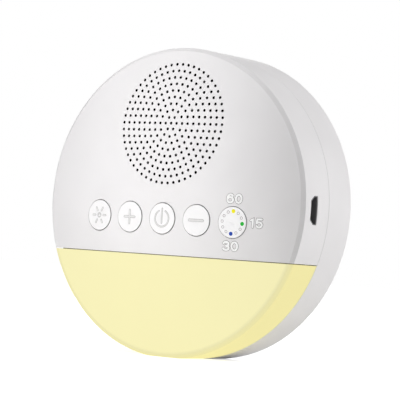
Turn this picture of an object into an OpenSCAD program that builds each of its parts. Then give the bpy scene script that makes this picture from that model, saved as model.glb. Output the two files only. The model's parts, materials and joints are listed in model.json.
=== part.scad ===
// White noise sound machine: a round two-part housing with a lamp across its lower front.
// Modules draw in the face frame: X right, Y up, Z out of the face, origin on the body's axis
// in the plane of the face's front edge. face_frame() stands that frame up in the part's own.

/* [Body] */
// Outer diameter of the round body
body_d = 100; // [98:0.5:104]
// Depth from the edge of the face to the flat back
body_depth = 29; // [28.5:0.5:34]
// Depth of the two front shells, from the edge of the face to the parting line
front_depth = 14.8; // [14:0.2:16]
// Wall thickness of the housing shells
wall = 2; // [1.6:0.1:2.2]
// Rise of the domed face above its edge
dome_rise = 4.8; // [4.4:0.1:5.4]
// Width of the 45 degree chamfer round the face
front_chamfer = 1.15; // [0.6:0.05:1.5]
// Radius of the rounded edge of the back
rear_round = 1.5; // [0.8:0.1:1.9]
// Width of the flat at the bottom that the body stands on
base_flat_w = 12; // [8:1:16]
// Height of the lamp diffuser above the table
lamp_h = 32.6; // [31:0.2:33.2]
// Gap between the front cover and the lamp diffuser
split_gap = 0.25; // [0.15:0.05:0.4]
// Width of the V groove round the parting line
seam_w = 0.3; // [0.1:0.05:0.5]
// Height of the locating lip inside the parting line
lip_h = 3; // [2:0.5:4]
// Thickness of the locating lip and of the diffuser's tongue
lip_t = 1.2; // [0.8:0.1:1.5]
// Clearance round the lip and the tongue
lip_gap = 0.15; // [0.1:0.05:0.3]
// Height of the diffuser's tongue behind the front cover
tongue_h = 2.5; // [1.5:0.5:3]

/* [Grille] */
// Number of rings of holes round the middle hole
grille_rings = 9; // [4:1:9]
// Distance from ring to ring, and nearly that from hole to hole
grille_pitch = 2.14; // [1.9:0.02:2.14]
// Diameter of one grille hole
grille_hole_d = 0.96; // [0.6:0.02:1.1]
// Height of the grille's centre above the body's axis
grille_y = 25.2; // [25:0.1:25.6]
// Wall thickness behind the grille
grille_wall = 1.2; // [1:0.1:1.5]

/* [Buttons] */
// Diameter of a button cap
button_d = 9.8; // [9:0.1:10]
// Clearance round a button cap
button_gap = 0.25; // [0.15:0.05:0.4]
// Distance from button to button
button_pitch = 13.1; // [13:0.1:13.6]
// Drop of the row of buttons below the body's axis
button_drop = 5.4; // [5.2:0.1:6.4]
// Height of a button's domed top above the face round it
button_proud = 0.25; // [0.1:0.05:1]
// Width of the 45 degree chamfer round a button's top
button_chamfer = 0.1; // [0.05:0.05:0.5]
// Travel of a button and of its switch
button_travel = 0.4; // [0.2:0.05:0.5]
// Width of the flange that keeps a button in
flange_w = 0.9; // [0.6:0.1:1]
// Thickness of that flange
flange_t = 1; // [0.7:0.1:1.2]
// Diameter of a light window in the timer button
window_d = 1.3; // [0.8:0.05:1.4]
// Distance of the light windows from the timer button's middle
window_ring_r = 3.55; // [3.4:0.05:3.6]
// Turn of the light windows round that middle
window_turn = -4; // [-10:1:10]

/* [USB port] */
// Height of the port's cut-out in the side wall
usb_w = 9.1; // [8.8:0.1:10]
// Width of that cut-out along the body's depth
usb_t = 4; // [3.8:0.1:4.4]
// Distance of its middle behind the edge of the face
usb_depth = 6.1; // [6:0.1:6.6]
// Wall of the black lining in the cut-out
usb_lining = 0.35; // [0.25:0.05:0.5]

/* [Boards] */
// Thickness of the main board
board_t = 1.6; // [1.2:0.1:1.6]
// Thickness of the lamp board
lamp_board_t = 1.2; // [0.8:0.1:1.6]
// Side of a tact switch
switch_w = 5.2; // [4.5:0.1:5.4]
// Height of a tact switch's body
switch_t = 1.6; // [1.4:0.1:1.8]
// Height of its plunger above the body
plunger_out = 0.8; // [0.6:0.05:0.9]
// Side of one lamp LED
led_w = 5; // [3.5:0.1:5]

/* [Speaker] */
// Diameter of the speaker frame's flange
speaker_d = 43; // [42:0.1:43]
// Diameter of the magnet
magnet_d = 28; // [24:0.5:30]
// Thickness of the magnet
magnet_t = 5; // [4:0.5:5]
// Travel of the cone each way from its rest
cone_travel = 0.5; // [0.2:0.1:0.5]

/* [Battery] */
// Length of the battery cell, across the body
cell_l = 50; // [40:1:52]
// Width of the battery cell, up the body
cell_w = 28; // [24:1:28]
// Thickness of the battery cell
cell_t = 9; // [7:0.5:9]

/* [Fasteners] */
// Shank diameter of the four rear screws
rear_screw_d = 2.6; // [2.2:0.1:3]
// Length of their shanks
rear_screw_l = 14; // [12:0.5:15]
// Shank diameter of the small screws inside
small_screw_d = 1.6; // [1.4:0.1:1.8]
// Length of their shanks
small_screw_l = 5; // [4.5:0.1:5.4]

/* [Hidden] */

round_fn = 128;
dome_fn = 1440;
small_fn = 32;
wire_fn = 8;
wire_steps = 12;

// Housing form
body_r = body_d / 2;
edge_r = body_r - front_chamfer;
dome_r = (edge_r * edge_r + dome_rise * dome_rise) / (2 * dome_rise);
dome_z = dome_rise - dome_r;
axis_h = sqrt(body_r * body_r - pow(base_flat_w / 2, 2));
split_y = lamp_h - axis_h;
floor_z = wall - body_depth;
embed = grille_wall - 0.2;
past = 5;

// Height of the domed face at a distance r from the body's axis
function face_z(r) = dome_z + sqrt(dome_r * dome_r - r * r);
function polar(r, a) = [r * cos(a), r * sin(a)];
function mirrored(p) = [[-p[0], p[1]], p];

// Buttons, from the light button on the left to the timer button on the right
button_r = button_d / 2;
button_xs = [for (i = [-2:2]) i * button_pitch];
timer_x = button_xs[4];
button_y = -button_drop;
guide_t = 1;
guide_z = face_z(norm([timer_x, button_drop]) + button_r + flange_w) - wall - 0.2;
cap_wall = 0.8;
cap_top_t = 1;
stem_r = 1.3;
seat_gap = 0.1;
function cap_z(r) = dome_z + sqrt(pow(dome_r + button_proud, 2) - r * r);
function button_top(x) = cap_z(norm([x, button_drop]));

// Boards and switches, placed from the USB socket that sits on the main board's rear face
usb_shell_w = 7.6;
usb_shell_t = 2.6;
usb_shell_l = 5.6;
usb_shell_wall = 0.35;
usb_corner_h = 0.16 * usb_w;
usb_corner_t = 0.48 * usb_t;
usb_mouth_x = sqrt(pow(body_r - wall, 2) - pow(usb_w / 2, 2)) - 0.3;
board_rear_z = usb_shell_t / 2 - usb_depth;
board_front_z = board_rear_z + board_t;
switch_top_z = board_front_z + switch_t;
plunger_z = switch_top_z + plunger_out;
plunger_r = 1.1;
board_r = body_r - wall - 1.2;
board_low_y = button_y - 7.6;
board_high_y = 8.5;
standoff_r = 2;
board_screw_spots = concat(
    mirrored([1.5 * button_pitch, button_y - 5.5]),
    mirrored([board_r - 8.8, 3.5])
);

// Speaker, seated on a collar behind the grille
speaker_r = speaker_d / 2;
speaker_fit = 0.3;
rim_t = 1.2;
rim_r = speaker_r + speaker_fit + rim_t;
collar_bore_r = grille_pitch * grille_rings + grille_hole_d / 2 + 0.2;
collar_z = face_z(grille_y + speaker_r) - wall - 0.6;
cloth_t = 0.3;
roll_r = 0.95;
film_t = 0.3;
gasket_t = roll_r + film_t / 2 + cone_travel + 0.4;
frame_z = collar_z - cloth_t - gasket_t;
frame_flange_t = 1;
clamp_z = frame_z - frame_flange_t;
speaker_boss_r = 1.7;
speaker_boss_ring = speaker_r + 1.9;
speaker_boss_angles = [35, 145, 205, 335];
basket_depth = 7.5;
basket_bottom_t = 1;
basket_window_w = 12;
plate_t = 2;
coil_r = 6.3;
coil_wall = 0.2;
winding_t = 0.4;
pole_r = coil_r - 0.3;
plate_bore_r = coil_r + coil_wall + winding_t + 0.4;
magnet_r = magnet_d / 2;
surround_r = 17.5;
gasket_r = speaker_r - 0.2;
seat_w = (gasket_r - surround_r) / 2 - 0.1;
cone_rim_w = 0.9;
cone_r = surround_r - 2 * roll_r;
spider_r = 12.4;
spider_wave = 0.4;
cap_r = 8;
plate_z = frame_z - basket_depth - basket_bottom_t;
magnet_z = plate_z - plate_t;
yoke_z = magnet_z - magnet_t;
basket_top_r = surround_r + 0.9;
terminal_size = [2.5, 8, 0.8];
terminal_x = -basket_top_r - 0.2 - terminal_size[0] / 2;
lug = [1.4, 1.6, 0.4];

// Rear screws, two into the front cover and two into the diffuser
boss_r = 3;
post_r = 3.2;
boss_ring_r = body_r - wall - lip_gap - lip_t - boss_r - 0.5;
cover_boss_spots = mirrored(polar(boss_ring_r, 53));
lamp_boss_spots = mirrored(polar(boss_ring_r, -37));
head_clearance = 0.3;
rear_head_r = 2.5;
rear_head_t = 2;
counterbore_depth = 6;
head_seat_z = counterbore_depth - body_depth;
small_head_r = 2.6;
small_head_t = 1.4;
thread_fit = 0.05;

// Lamp board with its LEDs and reflector
lamp_board_r = boss_ring_r - post_r - 0.6;
lamp_board_top = split_y - 4.5;
lamp_board_z = -front_depth - 2.2;
lamp_lead_y = lamp_board_top - 1.3;
reflector_top = lamp_board_top - 2.8;
reflector_t = 0.8;
reflector_rim = 3;
led_t = 1.5;
led_pitch = 12;
led_row = 8.5;
led_top = lamp_board_top - 5.5;
led_spots = concat(
    [for (i = [-2:2]) [led_pitch * i, led_top]],
    [for (i = [-1:1]) [(led_pitch + 2) * i, led_top - led_row]]
);
lamp_screw_spots = mirrored([1.5 * led_pitch - 0.5, led_top - 3]);

// Battery in its bay on the rear cover
tape_t = 1;
bay_wall = 1.2;
bay_gap = 0.3;
bay_h = 6;
cell_y = lamp_board_top + 2.5 + cell_w / 2;
cell_z = floor_z + tape_t;
cell_top_z = cell_z + cell_t;
cell_round = 2;

// Parts on the main board's rear face
control_chip_size = [9, 9, 1.4];
control_chip_spot = [-button_pitch / 2, button_y + 1];
amplifier_size = [5, 4, 1.5];
amplifier_spot = [5.5, button_y + 2.5];
capacitor_d = 5;
capacitor_h = 6.5;
capacitor_spots = [[board_r - 19.8, button_y - 0.6], [board_r - 13.8, button_y + 7.4]];

// Leads and the headers they plug into
header_size = [6, 4.5, 5];
header_z = board_rear_z - header_size[2];
speaker_header = [-31, 3];
battery_header = [-34, -5.5];
lamp_header = [6, board_low_y + 3];
lead_d = 1.1;
lead_space = 1;

// Part frame: the origin lies on the table under the middle of the body's depth
front_most = cap_z(max(0, button_drop - button_r));
edge_y = (front_most - body_depth) / 2;

module face_frame() {
    translate([0, edge_y, axis_h]) rotate([90, 0, 0]) children();
}

module speaker_frame_axis() {
    face_frame() translate([0, grille_y, 0]) children();
}

module tube(outer_r, inner_r, z_low, z_high) {
    difference() {
        rod(outer_r, z_low, z_high);
        rod(inner_r, z_low - 1, z_high + 1);
    }
}

module rod(r, z_low, z_high) {
    translate([0, 0, z_low]) cylinder(r = r, h = z_high - z_low, $fn = r > 5 ? round_fn : small_fn);
}

module at_spots(spots) {
    for (p = spots) translate([p[0], p[1], 0]) children();
}

// ---- Housing ----

// Triangle that cuts one side of the V groove; up is 1 or -1
module seam_notch(up) {
    side = seam_w / 2;
    polygon([
        [body_r - side, -front_depth],
        [body_r + past, -front_depth + up * (side + past)],
        [body_r + past, -front_depth]
    ]);
}

module outer_profile() {
    difference() {
        union() {
            intersection() {
                translate([0, dome_z]) circle(dome_r, $fn = dome_fn);
                translate([0, -front_chamfer]) square([edge_r, dome_rise + past]);
            }
            polygon([
                [0, -front_depth], [body_r, -front_depth], [body_r, -front_chamfer],
                [edge_r, 0], [0, 0]
            ]);
        }
        seam_notch(1);
    }
}

module outer_form() {
    rotate_extrude($fn = round_fn) outer_profile();
}

// The hollow of the front shells, a distance inset under their surface, or the form of the
// button tops with a negative inset
module inner_form(inset) {
    low = -front_depth - past;
    rotate_extrude($fn = round_fn)
        intersection() {
            translate([0, dome_z]) circle(dome_r - inset, $fn = dome_fn);
            translate([0, low]) square([body_r - inset, dome_rise + past - low]);
        }
}

// Everything above or below a level of the face frame
module above(y) {
    translate([-body_d, y, -2 * body_depth]) cube([2 * body_d, body_d, 4 * body_depth]);
}

module below(y) {
    translate([-body_d, y - body_d, -2 * body_depth]) cube([2 * body_d, body_d, 4 * body_depth]);
}

module grille_holes() {
    rod(grille_hole_d / 2, -past, dome_rise + 1);
    for (ring = [1:grille_rings], i = [0:6 * ring - 1])
        at_spots([polar(ring * grille_pitch, i * 60 / ring)])
            rod(grille_hole_d / 2, -past, dome_rise + 1);
}

// Outline of the USB cut-out, its front corners cut off; shrink is taken off all round
module usb_outline(shrink) {
    half_w = usb_w / 2 - shrink;
    half_t = usb_t / 2 - shrink;
    corner_w = half_w - usb_corner_h;
    corner_t = half_t - usb_corner_t;
    polygon([
        [-half_w, -half_t], [half_w, -half_t], [half_w, corner_t],
        [corner_w, half_t], [-corner_w, half_t], [-half_w, corner_t]
    ]);
}

module usb_prism(shrink, x_low, x_high) {
    translate([x_low, 0, -usb_depth]) rotate([90, 0, 90])
        linear_extrude(x_high - x_low) usb_outline(shrink);
}

module boss_rib(p) {
    reach = body_r - norm(p);
    translate([p[0], p[1], 0]) rotate(atan2(p[1], p[0]))
        translate([0, -rim_t / 2, -front_depth + lip_h + 0.4])
            cube([reach, rim_t, front_depth]);
}

module cover_fittings() {
    translate([0, grille_y, 0]) {
        rod(rim_r, clamp_z, dome_rise);
        at_spots([for (a = speaker_boss_angles) polar(speaker_boss_ring, a)])
            rod(speaker_boss_r, clamp_z, dome_rise);
    }
    at_spots([for (x = button_xs) [x, button_y]])
        rod(button_r + button_gap + guide_t, guide_z, dome_rise);
    at_spots(board_screw_spots) rod(standoff_r, board_front_z, dome_rise);
    at_spots(cover_boss_spots) rod(boss_r, -front_depth, dome_rise);
    for (p = cover_boss_spots) boss_rib(p);
}

module front_cover() {
    color("#f3f1f2") face_frame() difference() {
        union() {
            difference() {
                outer_form();
                inner_form(wall);
            }
            intersection() {
                cover_fittings();
                inner_form(embed);
            }
        }
        below(split_y + split_gap / 2);
        translate([0, grille_y, 0]) {
            intersection() {
                rod(collar_bore_r, -front_depth, dome_rise);
                translate([0, -grille_y, 0]) inner_form(grille_wall);
            }
            rod(speaker_r + speaker_fit, clamp_z - 1, collar_z);
            grille_holes();
            at_spots([for (a = speaker_boss_angles) polar(speaker_boss_ring, a)])
                rod(small_screw_d / 2 + thread_fit, clamp_z - 1, clamp_z + small_screw_l - 0.4);
        }
        at_spots([for (x = button_xs) [x, button_y]])
            rod(button_r + button_gap, guide_z - 1, dome_rise + 1);
        at_spots(board_screw_spots)
            rod(small_screw_d / 2 + thread_fit, board_front_z - 1, board_front_z + small_screw_l - 1);
        at_spots(cover_boss_spots)
            rod(rear_screw_d / 2 + thread_fit, -front_depth - 1, head_seat_z + rear_screw_l + 1);
        usb_prism(0, body_r - 2 * wall, body_r + 1);
    }
}

// Tongue that laps behind the front cover, from the diffuser's wall up past the split
module tongue() {
    reach = wall + lip_gap + lip_t;
    rear_limit = -front_depth + lip_h + 0.4;
    intersection() {
        difference() {
            union() {
                difference() {
                    inner_form(wall + lip_gap);
                    below(split_y - tongue_h);
                    above(split_y + tongue_h);
                }
                difference() {
                    inner_form(embed);
                    below(split_y - tongue_h);
                    above(split_y - split_gap / 2);
                }
            }
            inner_form(reach);
        }
        translate([-body_r, -body_r, rear_limit]) cube([body_d, body_d, body_depth]);
    }
}

module lamp_diffuser() {
    color("#f7f0b9") face_frame() difference() {
        union() {
            difference() {
                outer_form();
                inner_form(wall);
                above(split_y - split_gap / 2);
            }
            intersection() {
                union() {
                    at_spots(lamp_boss_spots) rod(boss_r, -front_depth, dome_rise);
                    for (p = lamp_boss_spots) boss_rib(p);
                }
                inner_form(embed);
            }
            tongue();
        }
        below(-axis_h);
        at_spots(lamp_boss_spots)
            rod(rear_screw_d / 2 + thread_fit, -front_depth - 1, head_seat_z + rear_screw_l + 1);
    }
}

module rear_profile() {
    lip_r = body_r - wall - lip_gap - lip_t;
    difference() {
        union() {
            translate([0, -body_depth]) square([body_r - rear_round, body_depth - front_depth]);
            translate([0, rear_round - body_depth])
                square([body_r, body_depth - front_depth - rear_round]);
            translate([body_r - rear_round, rear_round - body_depth])
                circle(rear_round, $fn = small_fn);
        }
        seam_notch(-1);
        translate([0, floor_z]) square([body_r - wall, body_depth]);
    }
    translate([lip_r, -front_depth - lip_h]) square([lip_t + lip_gap + wall / 2, lip_h]);
    translate([lip_r, -front_depth - lip_h]) square([lip_t, 2 * lip_h]);
}

module battery_bay(grow, h) {
    size = [cell_l + 2 * grow, cell_w + 2 * grow];
    translate([-size[0] / 2, cell_y - size[1] / 2, floor_z]) cube([size[0], size[1], h]);
}

module rear_cover() {
    screw_spots = concat(cover_boss_spots, lamp_boss_spots);
    color("#f1eff0") face_frame() difference() {
        union() {
            rotate_extrude($fn = round_fn) rear_profile();
            at_spots(screw_spots) rod(post_r, floor_z - wall / 2, -front_depth);
            at_spots(screw_spots)
                rod(rear_head_r + head_clearance + 1, floor_z - wall / 2, head_seat_z + 1);
            at_spots(lamp_screw_spots) rod(standoff_r, floor_z - wall / 2, lamp_board_z - lamp_board_t);
            difference() {
                translate([0, 0, -wall / 2]) battery_bay(bay_gap + bay_wall, bay_h + wall / 2);
                battery_bay(bay_gap, bay_h + 1);
            }
        }
        below(-axis_h);
        at_spots(screw_spots) rod(rear_screw_d / 2 + 0.2, -body_depth - 1, -front_depth + 1);
        at_spots(screw_spots) rod(rear_head_r + head_clearance, -body_depth - 1, head_seat_z);
        at_spots(lamp_screw_spots)
            rod(small_screw_d / 2 + thread_fit,
                lamp_board_z - small_screw_l - 0.5, lamp_board_z + 1);
    }
}

// Pan-head screw with its head below z and its shank above, cross recess in the head
module screw(shank_d, shank_l, head_r, head_t, z) {
    slot = [head_r * 1.2, head_r * 0.28, head_t];
    difference() {
        union() {
            rod(shank_d / 2, z - 0.1, z + shank_l);
            rod(head_r, z - head_t, z);
        }
        for (a = [0, 90]) rotate(a)
            translate([-slot[0] / 2, -slot[1] / 2, z - 1.5 * head_t]) cube(slot);
    }
}

module rear_screws() {
    color("#b9bbbd") face_frame() at_spots(concat(cover_boss_spots, lamp_boss_spots))
        screw(rear_screw_d, rear_screw_l, rear_head_r, rear_head_t, head_seat_z);
}

// ---- Buttons and switches ----

module button_profile(top) {
    skirt_z = guide_z - seat_gap - flange_t;
    union() {
        square_at(stem_r, plunger_z, top - cap_top_t / 2);
        square_at(button_r, top - cap_top_t, top + past);
        translate([button_r - cap_wall, skirt_z]) square([cap_wall, top - cap_top_t / 2 - skirt_z]);
        translate([button_r - cap_wall, skirt_z]) square([cap_wall + flange_w, flange_t]);
    }
}

module square_at(r, z_low, z_high) {
    translate([0, z_low]) square([r, z_high - z_low]);
}

// Form of a button's domed and chamfered top, square to the dome at the button's middle
module button_top_form(x) {
    r = dome_r + button_proud;
    top_r = button_r - button_chamfer;
    translate([0, 0, dome_z]) rotate([0, asin(norm([x, button_drop]) / r), atan2(button_y, x)])
        rotate_extrude($fn = round_fn) intersection() {
            circle(r, $fn = dome_fn);
            polygon([[0, r - 2 * past], [top_r + 2 * past, r - 2 * past], [top_r - 1, r + 1], [0, r + 1]]);
        }
}

module button(x) {
    face_frame() intersection() {
        translate([x, button_y, 0])
            rotate_extrude($fn = round_fn) button_profile(button_top(x));
        button_top_form(x);
    }
}

module light_button() {
    color("#f7f6f6") button(button_xs[0]);
}

module volume_up_button() {
    color("#f7f6f6") button(button_xs[1]);
}

module power_button() {
    color("#f7f6f6") button(button_xs[2]);
}

module volume_down_button() {
    color("#f7f6f6") button(button_xs[3]);
}

// Places its children at the light window at an angle, 0 for the one on the right
module at_window(angle) {
    translate([timer_x, button_y, 0]) at_spots([polar(window_ring_r, angle + window_turn)]) children();
}

module timer_button() {
    color("#f7f6f6") difference() {
        button(timer_x);
        face_frame() for (angle = [90, 0, -90])
            at_window(angle) rod(window_d / 2, guide_z - past, dome_rise + 2 * past);
    }
}

module timer_window(angle) {
    face_frame() intersection() {
        at_window(angle) rod(window_d / 2, guide_z - seat_gap - flange_t, dome_rise + past);
        inner_form(-button_proud);
    }
}

module timer_window_60() {
    color("#e9df33") timer_window(90);
}

module timer_window_15() {
    color("#33b043") timer_window(0);
}

module timer_window_30() {
    color("#1f4fae") timer_window(-90);
}

module switch_plunger(x) {
    color("#2c2c2e") face_frame() translate([x, button_y, 0])
        rod(plunger_r, board_front_z + button_travel + 0.3, plunger_z);
}

module light_switch_plunger() {
    switch_plunger(button_xs[0]);
}

module volume_up_switch_plunger() {
    switch_plunger(button_xs[1]);
}

module power_switch_plunger() {
    switch_plunger(button_xs[2]);
}

module volume_down_switch_plunger() {
    switch_plunger(button_xs[3]);
}

module timer_switch_plunger() {
    switch_plunger(timer_x);
}

module switch_bodies() {
    color("#c9c9cc") face_frame() at_spots([for (x = button_xs) [x, button_y]])
        difference() {
            translate([-switch_w / 2, -switch_w / 2, board_front_z])
                cube([switch_w, switch_w, switch_t]);
            rod(plunger_r + 0.2, board_front_z + 0.2, plunger_z);
        }
}

module timer_leds() {
    color("#f2f0dc") face_frame() for (angle = [90, 0, -90])
        at_window(angle) translate([-0.4, -0.4, board_front_z]) cube([0.8, 0.8, 0.6]);
}

// ---- Speaker ----

module grille_cloth() {
    color("#1d1d1f") speaker_frame_axis() rod(gasket_r, collar_z - cloth_t, collar_z);
}

module speaker_gasket() {
    color("#3a3a3d") speaker_frame_axis()
        tube(gasket_r, gasket_r - seat_w, frame_z, frame_z + gasket_t);
}

module speaker_frame() {
    flange_in = surround_r - 0.1;
    bottom_r = spider_r + 1.2;
    bottom_z = -basket_depth;
    color("#8d9093") speaker_frame_axis() translate([0, 0, frame_z]) difference() {
        rotate_extrude($fn = round_fn) polygon([
            [flange_in, 0], [speaker_r, 0], [speaker_r, -frame_flange_t],
            [basket_top_r, -frame_flange_t], [bottom_r, bottom_z - basket_bottom_t],
            [spider_r - 2, bottom_z - basket_bottom_t], [spider_r - 2, bottom_z],
            [spider_r + 0.2, bottom_z], [flange_in, -frame_flange_t]
        ]);
        for (a = [45, 135, 225, 315]) rotate(a)
            translate([spider_r - 1, -basket_window_w / 2, bottom_z + 1])
                cube([speaker_r, basket_window_w, basket_depth - frame_flange_t - 1.6]);
    }
}

module speaker_surround() {
    roll_mid = cone_r + roll_r;
    color("#2a2a2c") speaker_frame_axis() translate([0, 0, frame_z]) rotate_extrude($fn = round_fn) {
        translate([surround_r - film_t / 2, 0]) square([film_t / 2 + seat_w, film_t]);
        translate([cone_r - cone_rim_w, 0]) square([cone_rim_w + film_t / 2, film_t]);
        difference() {
            translate([roll_mid, 0]) circle(roll_r + film_t / 2, $fn = small_fn);
            translate([roll_mid, 0]) circle(roll_r - film_t / 2, $fn = small_fn);
            translate([roll_mid - 2 * roll_r, -past]) square([4 * roll_r, past]);
        }
    }
}

module speaker_cone() {
    coil_top = -5.2;
    coil_out = coil_r + coil_wall;
    color("#4a4a4d") speaker_frame_axis() translate([0, 0, frame_z]) rotate_extrude($fn = round_fn)
        polygon([
            [cone_r - cone_rim_w, 0], [cone_r, 0], [cone_r, -0.4], [cone_r - 0.7, -0.5],
            [coil_out, coil_top - 0.7], [coil_out, coil_top]
        ]);
}

module speaker_dust_cap() {
    base_r = coil_r + coil_wall / 2;
    cap_z = -5.2 - sqrt(cap_r * cap_r - base_r * base_r);
    color("#38383a") speaker_frame_axis() translate([0, 0, frame_z]) rotate_extrude($fn = round_fn)
        intersection() {
            difference() {
                translate([0, cap_z]) circle(cap_r, $fn = round_fn);
                translate([0, cap_z]) circle(cap_r - 0.3, $fn = round_fn);
            }
            translate([0, -5.2]) square([cap_r, cap_r]);
        }
}

module speaker_voice_coil() {
    top = frame_z - 5.2;
    winding_z = plate_z - 3;
    color("#b87333") speaker_frame_axis() {
        tube(coil_r + coil_wall, coil_r, winding_z - 0.8, top);
        tube(coil_r + coil_wall + winding_t, coil_r, winding_z, winding_z + 3.5);
    }
}

module speaker_spider() {
    steps = 24;
    inner = coil_r + coil_wall + 0.1;
    outer = spider_r - 2.2;
    level = -basket_depth;
    function wave(i, lift) = [
        inner + (outer - inner) * i / steps,
        level + spider_wave + lift - spider_wave * cos(i * 1080 / steps)
    ];
    color("#c9a25e") speaker_frame_axis() translate([0, 0, frame_z]) rotate_extrude($fn = round_fn)
        polygon(concat(
            [for (i = [0:steps]) wave(i, 0)],
            [[spider_r, level], [spider_r, level + film_t]],
            [for (i = [steps:-1:0]) wave(i, film_t)]
        ));
}

module speaker_top_plate() {
    color("#a6a8ab") speaker_frame_axis() tube(magnet_r - 0.6, plate_bore_r, magnet_z, plate_z);
}

module speaker_magnet() {
    color("#3b3d40") speaker_frame_axis() tube(magnet_r, plate_bore_r + 1.4, yoke_z, magnet_z);
}

module speaker_yoke() {
    color("#a6a8ab") speaker_frame_axis() difference() {
        union() {
            rod(magnet_r - 0.6, yoke_z - plate_t, yoke_z);
            rod(pole_r, yoke_z - 0.1, plate_z);
        }
        rod(1.5, yoke_z - past, plate_z + 1);
    }
}

module speaker_terminals() {
    size = terminal_size;
    color("#8a6a3c") speaker_frame_axis() translate([terminal_x, 0, clamp_z - size[2]]) {
        translate([-size[0] / 2, -size[1] / 2, 0]) cube(size);
        for (s = [-1, 1])
            translate([-lug[0] / 2, s * size[1] / 4 - lug[1] / 2, -lug[2]])
                cube([lug[0], lug[1], 2 * lug[2]]);
    }
}

module speaker_screws() {
    color("#b9bbbd") speaker_frame_axis()
        at_spots([for (a = speaker_boss_angles) polar(speaker_boss_ring, a)])
            screw(small_screw_d, small_screw_l - 1, small_head_r, small_head_t, clamp_z);
}

// ---- Main board ----

module main_board() {
    color("#1f6b45") face_frame() translate([0, 0, board_rear_z]) linear_extrude(board_t)
        difference() {
            intersection() {
                circle(board_r, $fn = round_fn);
                translate([-body_r, board_low_y]) square([body_d, board_high_y - board_low_y]);
            }
            translate([0, grille_y]) circle(rim_r + 1.2, $fn = round_fn);
            for (p = board_screw_spots) translate(p) circle(small_screw_d / 2 + 0.15, $fn = small_fn);
        }
}

module board_screws() {
    color("#b9bbbd") face_frame() at_spots(board_screw_spots)
        screw(small_screw_d, small_screw_l, small_head_r - 0.4, small_head_t, board_rear_z);
}

module usb_socket() {
    mouth_t = 0.3;
    cavity = [usb_shell_l - mouth_t, usb_shell_w - 2 * usb_shell_wall, usb_shell_t - 2 * usb_shell_wall];
    rear_x = usb_mouth_x - usb_shell_l;
    color("#55575b") face_frame() difference() {
        union() {
            translate([rear_x, -usb_shell_w / 2, board_rear_z - usb_shell_t])
                cube([usb_shell_l, usb_shell_w, usb_shell_t]);
            usb_prism(usb_lining / 2, usb_mouth_x - mouth_t, usb_mouth_x);
        }
        translate([rear_x + mouth_t, -cavity[1] / 2, -usb_depth - cavity[2] / 2])
            cube([cavity[0] + 1, cavity[1], cavity[2]]);
    }
}

module usb_tongue() {
    rear_x = usb_mouth_x - usb_shell_l + 0.3;
    color("#1b1b1d") face_frame() translate([rear_x, -1.85, -usb_depth - 0.35]) cube([4.2, 3.7, 0.7]);
}

module usb_lining_ring() {
    fit = 0.05;
    color("#1e1e20") face_frame() difference() {
        intersection() {
            usb_prism(fit, usb_mouth_x, body_r + 1);
            rod(body_r - 0.15, -front_depth, dome_rise);
        }
        usb_prism(usb_lining, usb_mouth_x - 1, body_r + 2);
    }
}

// Box of a given size on the main board's rear face, its middle at p
module on_board(p, size) {
    translate([p[0] - size[0] / 2, p[1] - size[1] / 2, board_rear_z - size[2]]) cube(size);
}

module control_chip() {
    color("#202124") face_frame() on_board(control_chip_spot, control_chip_size);
}

module amplifier_chip() {
    color("#202124") face_frame() on_board(amplifier_spot, amplifier_size);
}

module board_capacitors() {
    color("#2f3a5c") face_frame() at_spots(capacitor_spots)
        rod(capacitor_d / 2, board_rear_z - capacitor_h, board_rear_z);
}

module board_headers() {
    size = header_size;
    color("#efe9dc") face_frame() at_spots([speaker_header, battery_header, lamp_header])
        translate([-size[0] / 2, -size[1] / 2, header_z]) cube(size);
}

// ---- Lamp ----

module lamp_outline(r, top) {
    intersection() {
        circle(r, $fn = round_fn);
        translate([-body_r, top - body_d]) square([body_d, body_d]);
    }
}

module lamp_board() {
    color("#e9ece8") face_frame() translate([0, 0, lamp_board_z - lamp_board_t])
        linear_extrude(lamp_board_t) difference() {
            lamp_outline(lamp_board_r, lamp_board_top);
            for (p = lamp_screw_spots) translate(p) circle(small_screw_d / 2 + 0.15, $fn = small_fn);
        }
}

module lamp_leds() {
    color("#f3dd7a") face_frame() at_spots(led_spots)
        translate([-led_w / 2, -led_w / 2, lamp_board_z]) cube([led_w, led_w, led_t]);
}

module lamp_reflector() {
    edge = 0.8;
    color("#fafafa") face_frame() translate([0, 0, lamp_board_z]) difference() {
        linear_extrude(reflector_rim) lamp_outline(lamp_board_r - 0.4, reflector_top);
        translate([0, 0, reflector_t]) linear_extrude(reflector_rim)
            lamp_outline(lamp_board_r - 0.4 - edge, reflector_top - edge);
        for (p = led_spots) translate([p[0] - led_w / 2 - 0.3, p[1] - led_w / 2 - 0.3, -1])
            cube([led_w + 0.6, led_w + 0.6, reflector_t + 2]);
        at_spots(lamp_screw_spots) rod(small_screw_d / 2 + 0.15, -1, reflector_t + 1);
    }
}

module lamp_screws() {
    color("#b9bbbd") face_frame() at_spots(lamp_screw_spots) translate([0, 0, lamp_board_z + reflector_t])
        mirror([0, 0, 1]) screw(small_screw_d, small_screw_l, small_head_r - 0.3, small_head_t, 0);
}

// ---- Battery ----

module rounded_slab(w, h, r) {
    square([w - 2 * r, h], center = true);
    square([w, h - 2 * r], center = true);
    for (x = [r - w / 2, w / 2 - r], y = [r - h / 2, h / 2 - r])
        translate([x, y]) circle(r, $fn = small_fn);
}

module battery_cell() {
    color("#aeb4bb") face_frame()
        translate([0, cell_y + cell_w / 2, cell_z + cell_t / 2]) rotate([90, 0, 0])
            linear_extrude(cell_w) rounded_slab(cell_l, cell_t, cell_round);
}

module battery_tape() {
    color("#e3e0d4") face_frame()
        translate([-cell_l / 4, cell_y - cell_w / 4, floor_z]) cube([cell_l / 2, cell_w / 2, tape_t]);
}

// ---- Leads ----

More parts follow.
